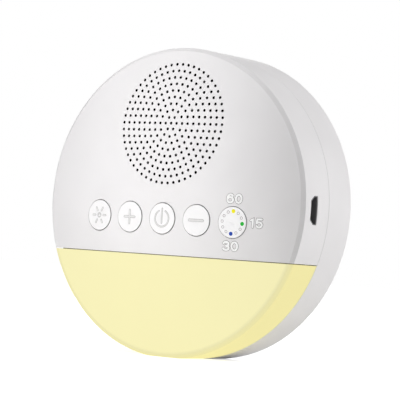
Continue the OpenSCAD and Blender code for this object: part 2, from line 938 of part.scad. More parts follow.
// Point on the cubic curve through p[0] and p[3], steered by p[1] and p[2]
function bezier(p, t) =
    pow(1 - t, 3) * p[0] + 3 * t * pow(1 - t, 2) * p[1] + 3 * t * t * (1 - t) * p[2] + pow(t, 3) * p[3];
function bezier_heading(p, t) = unit(
    pow(1 - t, 2) * (p[1] - p[0]) + 2 * t * (1 - t) * (p[2] - p[1]) + t * t * (p[3] - p[2])
);
function unit(v) = v / norm(v);

// Insulated wire along a cubic curve, its ends square to the curve
module wire(p) {
    plane_normal = cross(p[1] - p[0], p[3] - p[0]);
    rings = [
        for (i = [0:wire_steps])
            let (
                t = i / wire_steps,
                ahead = bezier_heading(p, t),
                u = unit(cross(ahead, plane_normal)),
                v = cross(ahead, u)
            )
            for (k = [0:wire_fn - 1])
                bezier(p, t) + lead_d / 2 * (cos(k * 360 / wire_fn) * u + sin(k * 360 / wire_fn) * v)
    ];
    last = wire_steps * wire_fn;
    polyhedron(rings, concat(
        [[for (k = [0:wire_fn - 1]) k]],
        [[for (k = [wire_fn - 1:-1:0]) last + k]],
        [for (i = [0:wire_steps - 1], k = [0:wire_fn - 1])
            let (a = i * wire_fn + k, b = i * wire_fn + (k + 1) % wire_fn)
            [b, a, a + wire_fn, b + wire_fn]]
    ));
}

module speaker_leads() {
    start = [terminal_x, grille_y, clamp_z - terminal_size[2] - lug[2]];
    finish = [speaker_header[0], speaker_header[1], header_z];
    color("#c23b32") face_frame() for (s = [-1, 1]) wire([
        start + [0, s * terminal_size[1] / 4, 0],
        start + [0, s * terminal_size[1] / 4, -7],
        finish + [-s * lead_space, 0, -9],
        finish + [-s * lead_space, 0, 0]
    ]);
}

module battery_leads() {
    start = [-cell_l / 2, cell_y, cell_top_z - cell_round - lead_d / 2];
    finish = [battery_header[0], battery_header[1], header_z];
    color("#c23b32") face_frame() for (s = [-1, 1]) wire([
        start + [0, 1.5 * s, 0],
        start + [-6, 1.5 * s, 0],
        finish + [s * lead_space, 0, -6],
        finish + [s * lead_space, 0, 0]
    ]);
}

module lamp_leads() {
    start = [lamp_header[0], lamp_lead_y, lamp_board_z];
    finish = [lamp_header[0], lamp_header[1], header_z];
    color("#c23b32") face_frame() for (s = [-1, 1]) wire([
        start + [s * lead_space, 0, 0],
        start + [s * lead_space, 0, max(0, cell_top_z - lamp_board_z) + 3],
        finish + [s * lead_space, 0, -3],
        finish + [s * lead_space, 0, 0]
    ]);
}

front_cover();
lamp_diffuser();
rear_cover();
rear_screws();
light_button();
volume_up_button();
power_button();
volume_down_button();
timer_button();
timer_window_60();
timer_window_15();
timer_window_30();
grille_cloth();
speaker_gasket();
speaker_frame();
speaker_surround();
speaker_cone();
speaker_dust_cap();
speaker_voice_coil();
speaker_spider();
speaker_top_plate();
speaker_magnet();
speaker_yoke();
speaker_terminals();
speaker_screws();
main_board();
board_screws();
switch_bodies();
light_switch_plunger();
volume_up_switch_plunger();
power_switch_plunger();
volume_down_switch_plunger();
timer_switch_plunger();
usb_socket();
usb_tongue();
usb_lining_ring();
control_chip();
amplifier_chip();
board_capacitors();
timer_leds();
board_headers();
lamp_board();
lamp_leds();
lamp_reflector();
lamp_screws();
battery_cell();
battery_tape();
speaker_leads();
battery_leads();
lamp_leads();
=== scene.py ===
import bpy
import json
import math
from mathutils import Matrix, Vector


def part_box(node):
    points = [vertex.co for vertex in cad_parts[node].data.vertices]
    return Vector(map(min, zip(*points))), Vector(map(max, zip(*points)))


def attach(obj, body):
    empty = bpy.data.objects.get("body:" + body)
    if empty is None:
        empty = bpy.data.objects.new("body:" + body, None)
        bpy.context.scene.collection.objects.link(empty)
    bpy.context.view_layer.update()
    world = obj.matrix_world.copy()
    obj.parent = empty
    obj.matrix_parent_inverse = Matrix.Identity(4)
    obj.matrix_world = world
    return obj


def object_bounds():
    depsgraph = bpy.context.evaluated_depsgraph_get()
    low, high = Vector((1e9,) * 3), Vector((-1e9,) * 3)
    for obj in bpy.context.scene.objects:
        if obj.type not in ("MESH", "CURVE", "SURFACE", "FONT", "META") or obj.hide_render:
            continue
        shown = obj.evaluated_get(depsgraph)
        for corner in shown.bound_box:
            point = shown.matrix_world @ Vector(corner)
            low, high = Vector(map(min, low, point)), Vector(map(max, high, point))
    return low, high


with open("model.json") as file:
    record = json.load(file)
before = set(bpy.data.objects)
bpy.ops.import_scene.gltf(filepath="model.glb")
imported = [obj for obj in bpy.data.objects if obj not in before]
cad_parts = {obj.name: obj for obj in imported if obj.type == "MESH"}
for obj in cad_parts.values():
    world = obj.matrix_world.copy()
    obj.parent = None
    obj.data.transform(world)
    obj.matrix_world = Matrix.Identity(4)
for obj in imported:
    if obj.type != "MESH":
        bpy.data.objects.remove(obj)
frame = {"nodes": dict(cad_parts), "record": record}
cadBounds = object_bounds()
cadNodes = frame["nodes"]
print("frame loaded,", len(cadNodes), "nodes")

# Sizes in millimetres, as the solids have them
housing = {
    "diameter": 100.0,
    "depth": 29.0,  # from the edge of the face to the flat back
    "edgeChamfer": 1.15,
    "domeRise": 4.8,
    "baseFlat": 12.0,  # width of the flat that the body stands on
    "buttonProud": 0.25,  # how far the caps stand out of the dome
}
faceEdge = housing["diameter"] / 2 - housing["edgeChamfer"]
domeRadius = (faceEdge ** 2 + housing["domeRise"] ** 2) / (2 * housing["domeRise"])
domeCentre = housing["domeRise"] - domeRadius
capRadius = domeRadius + housing["buttonProud"]
axisHeight = math.sqrt((housing["diameter"] / 2) ** 2 - (housing["baseFlat"] / 2) ** 2)
edgeY = cadBounds[1].y * 1000 - housing["depth"]

# Shapes on the face are drawn in millimetres with z out of the face; this stands them up in place
faceMatrix = (Matrix.Translation((0, edgeY / 1000, axisHeight / 1000))
              @ Matrix.Rotation(math.radians(90), 4, "X") @ Matrix.Scale(0.001, 4))


def faceHeight(x, y):
    return domeCentre + math.sqrt(domeRadius ** 2 - x * x - y * y)


# The button tops follow the dome, a little proud of it
def capHeight(x, y):
    return domeCentre + math.sqrt(capRadius ** 2 - x * x - y * y)


# Middle of a node on the face, in millimetres from the body's axis. It is rounded, because the
# facets of a round node leave its box a few microns small.
def placeOnFace(node, digits=1):
    low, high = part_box(node)
    return round((low[0] + high[0]) * 500, digits), round((low[2] + high[2]) * 500 - axisHeight, digits)


def colour(hexCode):
    channels = [int(hexCode[i:i + 2], 16) / 255 for i in (1, 3, 5)]
    return [c / 12.92 if c <= 0.04045 else ((c + 0.055) / 1.055) ** 2.4 for c in channels] + [1.0]


# Adds a node. An input takes a plain value, another node's socket, or a node for its first output.
def addNode(tree, kind, inputs=None, **settings):
    node = tree.nodes.new(kind)
    for name, value in settings.items():
        setattr(node, name, value)
    for socket, given in (inputs or {}).items():
        if isinstance(given, bpy.types.Node):
            given = given.outputs[0]
        if isinstance(given, bpy.types.NodeSocket):
            tree.links.new(given, node.inputs[socket])
        else:
            node.inputs[socket].default_value = given
    return node


def newMaterial(name, shaderValues):
    material = bpy.data.materials.new(name)
    material.use_nodes = True
    tree = material.node_tree
    tree.nodes.clear()
    shader = addNode(tree, "ShaderNodeBsdfPrincipled", shaderValues)
    addNode(tree, "ShaderNodeOutputMaterial", {"Surface": shader})
    place = addNode(tree, "ShaderNodeTexCoord").outputs["Object"]
    return material, tree, shader, place


# Gives a shader its two shades from one pattern, and its relief and gloss from another. Sockets
# 6 and 7 of a Mix node are its two colours, and its output 2 is the mixed colour.
def dressSurface(tree, shader, tint, relief, finish):
    low, high = finish.get("tintRange", (0.35, 0.65))
    share = addNode(tree, "ShaderNodeMapRange", {"Value": tint, "From Min": low, "From Max": high})
    mix = addNode(tree, "ShaderNodeMix", {0: share, 6: colour(finish["dark"]), 7: colour(finish["light"])},
                  data_type="RGBA")
    tree.links.new(mix.outputs[2], shader.inputs["Base Color"])
    bump = addNode(tree, "ShaderNodeBump", {
        "Height": relief, "Distance": finish["reliefMm"] / 1000, "Strength": finish["reliefStrength"]})
    tree.links.new(bump.outputs[0], shader.inputs["Normal"])
    if "glossSpread" in finish:
        gloss = addNode(tree, "ShaderNodeMapRange", {
            "Value": relief, "To Min": finish["roughness"] - finish["glossSpread"],
            "To Max": finish["roughness"] + finish["glossSpread"]})
        tree.links.new(gloss.outputs[0], shader.inputs["Roughness"])


# A plastic straight from its mould: two close shades that drift over the part, and the fine
# grain of a spark-eroded mould in the bump. A noise's scale is cells per metre: 1000 / size in mm.
def mouldedSurface(name, finish):
    material, tree, shader, place = newMaterial(name, {
        "Roughness": finish["roughness"], "IOR": finish["ior"], "Coat Weight": finish.get("coat", 0.0),
        "Coat Roughness": 0.12, "Emission Color": colour(finish["light"]),
        "Emission Strength": finish.get("glow", 0.0)})
    drift = addNode(tree, "ShaderNodeTexNoise", {
        "Vector": place, "Scale": 1000 / finish["driftMm"], "Detail": 2.0})
    grain = addNode(tree, "ShaderNodeTexNoise", {
        "Vector": place, "Scale": 1000 / finish["grainMm"], "Detail": 3.0})
    dressSurface(tree, shader, drift.outputs["Fac"], grain.outputs["Fac"], {
        "reliefStrength": 0.6, "glossSpread": 0.05, **finish})
    return material, tree, shader, place


# The same surface where nothing is added to its nodes
def mouldedPlastic(name, finish):
    return mouldedSurface(name, finish)[0]


# A metal as plated or ground: light brushing along one axis that stretches the noise
def platedMetal(name, finish):
    material, tree, shader, place = newMaterial(name, {"Roughness": finish["roughness"], "Metallic": 1.0})
    stretch = addNode(tree, "ShaderNodeMapping", {"Vector": place, "Scale": finish["stretch"]})
    brushing = addNode(tree, "ShaderNodeTexNoise", {
        "Vector": stretch, "Scale": 1000 / finish["lineMm"], "Detail": 3.0}).outputs["Fac"]
    dressSurface(tree, shader, brushing, brushing, {
        "reliefMm": 0.004, "reliefStrength": 0.5, "glossSpread": 0.08, **finish})
    return material


# A wave texture of scale 1 has about this many waves in a metre
wavesPerScale = 3.2


# Cloth from two crossed sets of threads, as it comes off the loom: dull, with soft hairs
def wovenCloth(name, finish):
    material, tree, shader, place = newMaterial(name, {
        "Roughness": 0.9, "Sheen Weight": finish["sheen"], "Sheen Roughness": 0.5})
    threads = {}
    for socket, direction in enumerate(("X", "Z")):
        wave = addNode(tree, "ShaderNodeTexWave", {
            "Vector": place, "Scale": 1000 / finish["threadMm"] / wavesPerScale, "Distortion": 0.6,
            "Detail": 1.0}, bands_direction=direction)
        threads[socket] = wave.outputs["Fac"]
    weave = addNode(tree, "ShaderNodeMath", threads, operation="MULTIPLY")
    dressSurface(tree, shader, weave, weave, {
        "tintRange": (0.0, 0.7), "reliefMm": 0.05, "reliefStrength": 0.8, **finish})
    return material


# How deep a place lies under a dome of the face, in metres
def depthUnderDome(tree, place, radius):
    middle = tuple(faceMatrix @ Vector((0, 0, domeCentre)))
    fromMiddle = addNode(tree, "ShaderNodeVectorMath", {0: place, 1: middle}, operation="DISTANCE")
    return addNode(tree, "ShaderNodeMath", {0: radius / 1000, 1: fromMiddle.outputs["Value"]},
                   operation="SUBTRACT")


# The caps are white ABS on the domed top, whiter and glossier than the housing. Their side wall down in the
# gap is drawn grey: painted shade in the gap.
def whiteCapShadedSide(name, glow):
    cap = {"dark": "#FBFAFB", "light": "#FDFCFD", "roughness": 0.3, "ior": 1.54, "glow": glow,
           "driftMm": 6.0, "grainMm": 0.5, "reliefMm": 0.002, "gapShadeGrey": "#C2C1C2", "shadeFromMm": 0.04}
    material, tree, shader, place = mouldedSurface(name, cap)
    capTop = shader.inputs["Base Color"].links[0].from_socket
    # Painted shade: the side wall below the domed top turns grey
    gapShade = addNode(tree, "ShaderNodeMapRange", {
        "Value": depthUnderDome(tree, place, capRadius),
        "From Min": cap["shadeFromMm"] / 1000, "From Max": 2 * cap["shadeFromMm"] / 1000})
    mix = addNode(tree, "ShaderNodeMix", {0: gapShade, 6: capTop, 7: colour(cap["gapShadeGrey"])}, data_type="RGBA")
    tree.links.new(mix.outputs[2], shader.inputs["Base Color"])
    return material


# Screen-printed ink: dull, laid down thick enough to feel
def printedInk(name, dark, light, glow=0.0):
    return mouldedPlastic(name, {"dark": dark, "light": light, "roughness": 0.5, "ior": 1.5, "glow": glow,
                                 "driftMm": 1.5, "grainMm": 0.3, "reliefMm": 0.003})


# The white ink has a faint glow: painted light that makes it whiter than its light allows
inks = {
    # Grey of the icons' raised edges, painted shade along their sides; the same grey prints the dial's marks
    "greyEdgeShadeAndMarks": printedInk("greyEdgeShadeAndMarkInk", "#C6C4C4", "#CCCACA"),
    "iconFill": printedInk("screenPrintedPaleInk", "#E7E6E6", "#ECEBEB"),
    # Grey of the numbers' raised edges, painted shade along their sides
    "numberEdgeShade": printedInk("midGreyEdgeShade", "#ADABAB", "#B5B3B3"),
    "numberFill": printedInk("screenPrintedWhiteInk", "#FAFAFA", "#FDFDFD", 0.15),
}


# Opal polycarbonate with a yellow tint, lit softly from behind by the LEDs: an even warm glow on the face
# that hardly shades, a little deeper and dimmer on the side wall behind it, which is painted shade.
def opalDiffuser():
    opal = {"dark": "#6B674F", "light": "#6E6A51", "roughness": 0.6, "ior": 1.25,
            "driftMm": 18.0, "grainMm": 0.4, "reliefMm": 0.003, "reliefStrength": 0.6,
            "faceGlow": "#F4EEB8", "sideGlow": "#EDE4A1", "sideDepth": 1.5, "strength": 0.88,
            "glowSkin": 0.15, "coreStrength": 0.088, "rimWidth": 1.0, "rimDimming": 0.12}
    material, tree, shader, place = newMaterial("opalPolycarbonateYellow", {
        "Roughness": opal["roughness"], "IOR": opal["ior"]})
    drift = addNode(tree, "ShaderNodeTexNoise", {
        "Vector": place, "Scale": 1000 / opal["driftMm"], "Detail": 2.0})
    grain = addNode(tree, "ShaderNodeTexNoise", {
        "Vector": place, "Scale": 1000 / opal["grainMm"], "Detail": 2.0})
    dressSurface(tree, shader, drift.outputs["Fac"], grain.outputs["Fac"], opal)
    # The colour of the glow turns deeper and dimmer from the edge of the face to a little behind it: painted
    # shade on the side wall
    backwards = addNode(tree, "ShaderNodeSeparateXYZ", {0: place}).outputs["Y"]
    sideways = addNode(tree, "ShaderNodeMapRange", {
        "Value": backwards, "From Min": edgeY / 1000, "From Max": (edgeY + opal["sideDepth"]) / 1000})
    glow = addNode(tree, "ShaderNodeMix", {
        0: sideways, 6: colour(opal["faceGlow"]), 7: colour(opal["sideGlow"])}, data_type="RGBA")
    tree.links.new(glow.outputs[2], shader.inputs["Emission Color"])
    # The glow is kept to an outer skin and is faint in the core: painted shade in the joint with the cover,
    # which stays a thin dark line. The skin is measured from the dome, the round wall or the chamfer: the
    # nearest.
    level = addNode(tree, "ShaderNodeVectorMath", {0: place, 1: (1, 0, 1)}, operation="MULTIPLY")
    fromAxis = addNode(tree, "ShaderNodeVectorMath", {0: level, 1: (0, 0, axisHeight / 1000)},
                       operation="DISTANCE").outputs["Value"]
    underDome = depthUnderDome(tree, place, domeRadius)
    underWall = addNode(tree, "ShaderNodeMath", {0: housing["diameter"] / 2000, 1: fromAxis},
                        operation="SUBTRACT")
    outAndForward = addNode(tree, "ShaderNodeMath", {0: fromAxis, 1: backwards}, operation="SUBTRACT")
    shortOfChamfer = addNode(tree, "ShaderNodeMath", {0: (faceEdge - edgeY) / 1000, 1: outAndForward},
                             operation="SUBTRACT")
    underChamfer = addNode(tree, "ShaderNodeMath", {0: shortOfChamfer, 1: math.sqrt(0.5)},
                           operation="MULTIPLY")
    under = addNode(tree, "ShaderNodeMath", {0: underDome, 1: underWall}, operation="MINIMUM")
    under = addNode(tree, "ShaderNodeMath", {0: under, 1: underChamfer}, operation="MINIMUM")
    skin = addNode(tree, "ShaderNodeMapRange", {
        "Value": under, "From Min": opal["glowSkin"] / 2000, "From Max": opal["glowSkin"] / 1000,
        "To Min": opal["strength"], "To Max": opal["coreStrength"]})
    # The glow is dimmer along the rim of the face: painted shade on its edge
    rim = addNode(tree, "ShaderNodeMapRange", {
        "Value": fromAxis, "From Min": (faceEdge - opal["rimWidth"]) / 1000, "From Max": faceEdge / 1000,
        "To Max": opal["rimDimming"]})
    facing = addNode(tree, "ShaderNodeMath", {0: 1.0, 1: sideways}, operation="SUBTRACT")
    dimmed = addNode(tree, "ShaderNodeMath", {0: rim, 1: facing}, operation="MULTIPLY")
    kept = addNode(tree, "ShaderNodeMath", {0: 1.0, 1: dimmed}, operation="SUBTRACT")
    strength = addNode(tree, "ShaderNodeMath", {0: skin, 1: kept}, operation="MULTIPLY")
    tree.links.new(strength.outputs[0], shader.inputs["Emission Strength"])
    return material


# Tinted acrylic light pipes, moulded clear and satin, with the timer's lights faintly on behind them
def tintedWindow(name, dark, light):
    return mouldedPlastic(name, {"dark": dark, "light": light, "roughness": 0.35, "ior": 1.3, "glow": 0.25,
                                 "driftMm": 0.8, "grainMm": 0.4, "reliefMm": 0.001})


# Cut circuit board: solder mask with copper tracks that show through as a lighter relief
def circuitBoard(name, mask, track, trackMm):
    board = {"dark": mask, "light": track, "tintRange": (0.11, 0.13), "trackShare": 0.18,
             "reliefMm": 0.02, "reliefStrength": 0.5}
    material, tree, shader, place = newMaterial(name, {
        "Roughness": 0.32, "IOR": 1.5, "Coat Weight": 0.4, "Coat Roughness": 0.2})
    cells = addNode(tree, "ShaderNodeTexVoronoi", {
        "Vector": place, "Scale": 1000 / trackMm, "Randomness": 0.8}, distance="MANHATTAN", feature="F1")
    tracks = addNode(tree, "ShaderNodeMath", {0: cells.outputs["Distance"], 1: board["trackShare"]},
                     operation="PINGPONG")
    dressSurface(tree, shader, tracks, tracks, board)
    return material


# Enamelled copper wire wound in layers, one turn beside the next along the coil's axis. The wire
# is 0.2 mm thick and drawn about twice as coarse, so that its turns still show.
def wireWinding():
    winding = {"turnMm": 0.3925, "dark": "#8A4B1C", "light": "#C47A3C", "tintRange": (0.2, 0.8),
               "reliefMm": 0.05, "reliefStrength": 1.0}
    material, tree, shader, place = newMaterial("enamelledCopperWinding", {
        "Roughness": 0.3, "Metallic": 0.85})
    turns = addNode(tree, "ShaderNodeTexWave", {
        "Vector": place, "Scale": 1000 / winding["turnMm"] / wavesPerScale, "Distortion": 0.0,
    }, bands_direction="Y", wave_profile="SIN").outputs["Fac"]
    dressSurface(tree, shader, turns, turns, winding)
    return material


# One material for each slot of the record, named for the stuff and how it was made
finishes = {
    # Injection-moulded ABS with a fine satin grain: soft wide highlights on white.
    # The real grain is about 0.05 mm; it is drawn at 0.4 mm so that it still shows.
    "white_abs": mouldedPlastic("mouldedAbsWhite", {
        "dark": "#EFEDEE", "light": "#F3F1F2", "roughness": 0.42, "ior": 1.54,
        "driftMm": 22.0, "grainMm": 0.4, "reliefMm": 0.004}),
    "button_white": whiteCapShadedSide("absCapWhiteShadedSide", 0.0),
    "lamp_yellow": opalDiffuser(),
    "window_yellow": tintedWindow("tintedAcrylicYellow", "#E0D800", "#E8E000"),
    "window_green": tintedWindow("tintedAcrylicGreen", "#0EA826", "#14AE2E"),
    "window_blue": tintedWindow("tintedAcrylicBlue", "#0A3C9E", "#0C42A6"),
    # Black acoustic cloth behind the grille, a plain weave of 0.35 mm threads
    "cloth_black": wovenCloth("wovenAcousticCloth", {
        "dark": "#0E0E0F", "light": "#262628", "threadMm": 0.35, "sheen": 0.1}),
    # Closed-cell foam: small cells, no gloss at all
    "foam_grey": mouldedPlastic("closedCellFoam", {
        "dark": "#333336", "light": "#404044", "roughness": 0.92, "ior": 1.45,
        "driftMm": 1.2, "grainMm": 0.6, "reliefMm": 0.12}),
    # Butyl rubber, moulded and dull
    "surround_rubber": mouldedPlastic("mouldedButylRubber", {
        "dark": "#242426", "light": "#2E2E31", "roughness": 0.62, "ior": 1.52,
        "driftMm": 5.0, "grainMm": 0.5, "reliefMm": 0.01}),
    # Pressed paper pulp: long pale fibres in a dark sheet
    "paper_cone": mouldedPlastic("pressedPaperPulp", {
        "dark": "#3E3E41", "light": "#56565A", "roughness": 0.85, "ior": 1.45,
        "driftMm": 0.7, "grainMm": 0.3, "reliefMm": 0.03}),
    # Resin-dipped cotton, pressed into waves
    "spider_cloth": wovenCloth("resinedCottonCloth", {
        "dark": "#A98645", "light": "#D3AE6C", "threadMm": 0.5, "sheen": 0.05}),
    # Zinc-plated pressed or turned steel, with faint lines from the tool
    "steel": platedMetal("zincPlatedSteel", {
        "dark": "#A9ACAF", "light": "#C9CCCE", "roughness": 0.32, "lineMm": 0.5, "stretch": (1, 1, 0.12)}),
    # Sintered ferrite, ground on its faces: near black, dull, slightly grainy
    "ferrite": mouldedPlastic("sinteredFerrite", {
        "dark": "#343639", "light": "#42454A", "roughness": 0.55, "ior": 2.2,
        "driftMm": 3.0, "grainMm": 0.5, "reliefMm": 0.01}),
    "copper": wireWinding(),
    "board_green": circuitBoard("solderMaskGreen", "#15583A", "#2A7A54", 3.0),
    "board_white": circuitBoard("solderMaskWhite", "#EBEDEA", "#F3F4F1", 4.0),
    # Phenolic paper board with a faint layered grain
    "phenolic": mouldedPlastic("phenolicPaperBoard", {
        "dark": "#7A5C33", "light": "#946F40", "roughness": 0.5, "ior": 1.6,
        "driftMm": 0.8, "grainMm": 0.4, "reliefMm": 0.01}),
    # Black filled nylon, moulded: half dull
    "black_plastic": mouldedPlastic("mouldedNylonBlack", {
        "dark": "#232325", "light": "#2D2D30", "roughness": 0.45, "ior": 1.53,
        "driftMm": 3.0, "grainMm": 0.4, "reliefMm": 0.006}),
    # Tinned steel cans of the switches, rolled: bright with fine lines
    "switch_metal": platedMetal("tinnedSteel", {
        "dark": "#B8B8BA", "light": "#D6D6D8", "roughness": 0.28, "lineMm": 0.4, "stretch": (0.15, 1, 1)}),
    # Dark nickel over the pressed shell of the socket
    "port_metal": platedMetal("darkNickelPlate", {
        "dark": "#4C4E52", "light": "#66686D", "roughness": 0.35, "lineMm": 0.4, "stretch": (0.15, 1, 1)}),
    # Silicone over phosphor, a soft yellow gel
    "led_phosphor": mouldedPlastic("siliconePhosphor", {
        "dark": "#E9D067", "light": "#F4E08A", "roughness": 0.3, "ior": 1.41, "coat": 0.3,
        "driftMm": 1.0, "grainMm": 0.5, "reliefMm": 0.005}),
    # Undyed nylon, moulded: a warm milky white
    "header_nylon": mouldedPlastic("mouldedNylonNatural", {
        "dark": "#EAE2D2", "light": "#F2ECE0", "roughness": 0.5, "ior": 1.53,
        "driftMm": 2.0, "grainMm": 0.4, "reliefMm": 0.005}),
    # PVC shrink sleeve over an aluminium can
    "capacitor_sleeve": mouldedPlastic("shrinkSleeveBlue", {
        "dark": "#26304A", "light": "#333F60", "roughness": 0.25, "ior": 1.54, "coat": 0.4,
        "driftMm": 2.5, "grainMm": 0.5, "reliefMm": 0.004}),
    # ABS from a polished mould, glossy so that it throws the light forward
    "reflector_white": mouldedPlastic("glossAbsWhite", {
        "dark": "#F5F5F4", "light": "#FAFAFA", "roughness": 0.2, "ior": 1.54,
        "driftMm": 8.0, "grainMm": 0.5, "reliefMm": 0.002}),
    # Laminated aluminium foil pouch: crinkled, softly metallic
    "cell_foil": platedMetal("laminatedFoilPouch", {
        "dark": "#A4A9AF", "light": "#C6CACE", "roughness": 0.3, "lineMm": 2.0, "stretch": (1, 1, 0.6)}),
    # Foam tape, glued on both sides: pale, open at its cut edges
    "tape_foam": mouldedPlastic("foamMountingTape", {
        "dark": "#DCD9CC", "light": "#E9E6DA", "roughness": 0.9, "ior": 1.45,
        "driftMm": 1.0, "grainMm": 0.5, "reliefMm": 0.06}),
    # PVC insulation, extruded: smooth with a soft sheen
    "wire_red": mouldedPlastic("pvcInsulationRed", {
        "dark": "#B53027", "light": "#C93F34", "roughness": 0.38, "ior": 1.54,
        "driftMm": 3.0, "grainMm": 0.4, "reliefMm": 0.004}),
}
# Two nodes differ from the rest of their slot. The timer's cap has a faint painted glow that makes it
# lighter. The lining of the port is drawn a lighter grey: painted light on its inner wall.
ownFinishes = {
    # Painted light: a faint glow lifts the timer's cap
    "timer_button": whiteCapShadedSide("absCapWhiteShadedSideGlow", 0.075),
    # Painted light: the port's lining is drawn lighter grey for the light on its inner wall
    "usb_lining_ring": mouldedPlastic("greyNylonPaintedLight", {
        "dark": "#717173", "light": "#7A7A7C", "roughness": 0.45, "ior": 1.53,
        "driftMm": 3.0, "grainMm": 0.4, "reliefMm": 0.006}),
}
slotOf = {part["node"]: part["material_slot"] for part in frame["record"]["subparts"]}
for name, solid in cadNodes.items():
    solid.data.materials.clear()
    solid.data.materials.append(ownFinishes.get(name, finishes[slotOf[name]]))
print("finishes set on", len(cadNodes), "solids")


# A new tree with one named input for each entry of a piece's sizes, and its input sockets by name
def geometryTree(name, sizes):
    tree = bpy.data.node_groups.new(name, "GeometryNodeTree")
    for label, value in sizes.items():
        kind = {int: "Int", float: "Float", tuple: "Vector"}.get(type(value), "Material")
        tree.interface.new_socket(name=label, in_out="INPUT", socket_type="NodeSocket" + kind)
    tree.interface.new_socket(name="Geometry", in_out="OUTPUT", socket_type="NodeSocketGeometry")
    source = addNode(tree, "NodeGroupInput")
    return tree, {label: source.outputs[label] for label in sizes}


def endTree(tree, geometry, material):
    solid = addNode(tree, "GeometryNodeRealizeInstances", {0: geometry})
    dressed = addNode(tree, "GeometryNodeSetMaterial", {"Geometry": solid, "Material": material})
    addNode(tree, "NodeGroupOutput", {0: dressed})


def newPiece(name, mesh):
    piece = bpy.data.objects.new(name, mesh)
    bpy.context.collection.objects.link(piece)
    return piece


# Runs a tree once and keeps its result as a plain mesh in the part's frame
def meshFromTree(name, tree, sizes):
    carrier = newPiece(name + "Carrier", bpy.data.meshes.new(name + "Carrier"))
    modifier = carrier.modifiers.new("shape", "NODES")
    modifier.node_group = tree
    for item in tree.interface.items_tree:
        if item.in_out == "INPUT":
            modifier[item.identifier] = sizes[item.name]
    carrier.update_tag()
    bpy.context.view_layer.update()
    graph = bpy.context.evaluated_depsgraph_get()
    mesh = bpy.data.meshes.new_from_object(carrier.evaluated_get(graph), depsgraph=graph)
    mesh.name = name
    mesh.transform(faceMatrix)
    bpy.data.objects.remove(carrier)
    return newPiece(name, mesh)


# Flat closed band bent into a ring: a circle swept with a rectangle, thick across and high along z
def ringBand(tree, given):
    circle = addNode(tree, "GeometryNodeCurvePrimitiveCircle", {
        "Radius": given["Ring Radius"], "Resolution": given["Ring Sides"]})
    section = addNode(tree, "GeometryNodeCurvePrimitiveQuadrilateral", {
        "Width": given["Ring Wall"], "Height": given["Ring Height"]})
    return addNode(tree, "GeometryNodeCurveToMesh", {"Curve": circle, "Profile Curve": section})


# A place on the dome: so far out from a middle, at an angle, and up to the dome's surface
def spotOnDome(tree, given, reach, angle):
    spoke = addNode(tree, "ShaderNodeCombineXYZ", {0: reach})
    turned = addNode(tree, "ShaderNodeVectorRotate", {"Vector": spoke, "Angle": angle},
                     rotation_type="Z_AXIS")
    flat = addNode(tree, "ShaderNodeVectorMath", {0: turned, 1: given["Middle"]}, operation="ADD")
    outSquared = addNode(tree, "ShaderNodeVectorMath", {0: flat, 1: flat}, operation="DOT_PRODUCT")
    radiusSquared = addNode(tree, "ShaderNodeMath", {0: given["Dome Radius"], 1: 2.0}, operation="POWER")
    riseSquared = addNode(tree, "ShaderNodeMath", {0: radiusSquared, 1: outSquared.outputs["Value"]},
                          operation="SUBTRACT")
    rise = addNode(tree, "ShaderNodeMath", {0: riseSquared}, operation="SQRT")
    height = addNode(tree, "ShaderNodeMath", {0: rise, 1: given["Dome Centre"]}, operation="ADD")
    lift = addNode(tree, "ShaderNodeCombineXYZ", {2: height})
    return addNode(tree, "ShaderNodeVectorMath", {0: flat, 1: lift}, operation="ADD")


# Black inside the holes, painted shade: it gives back almost no light, so each hole reads as a dark dot
holeShadeBlack = mouldedPlastic("paintedHoleShadeBlack", {
    "dark": "#040404", "light": "#080808", "roughness": 0.95, "ior": 1.1,
    "driftMm": 1.0, "grainMm": 0.3, "reliefMm": 0.002})


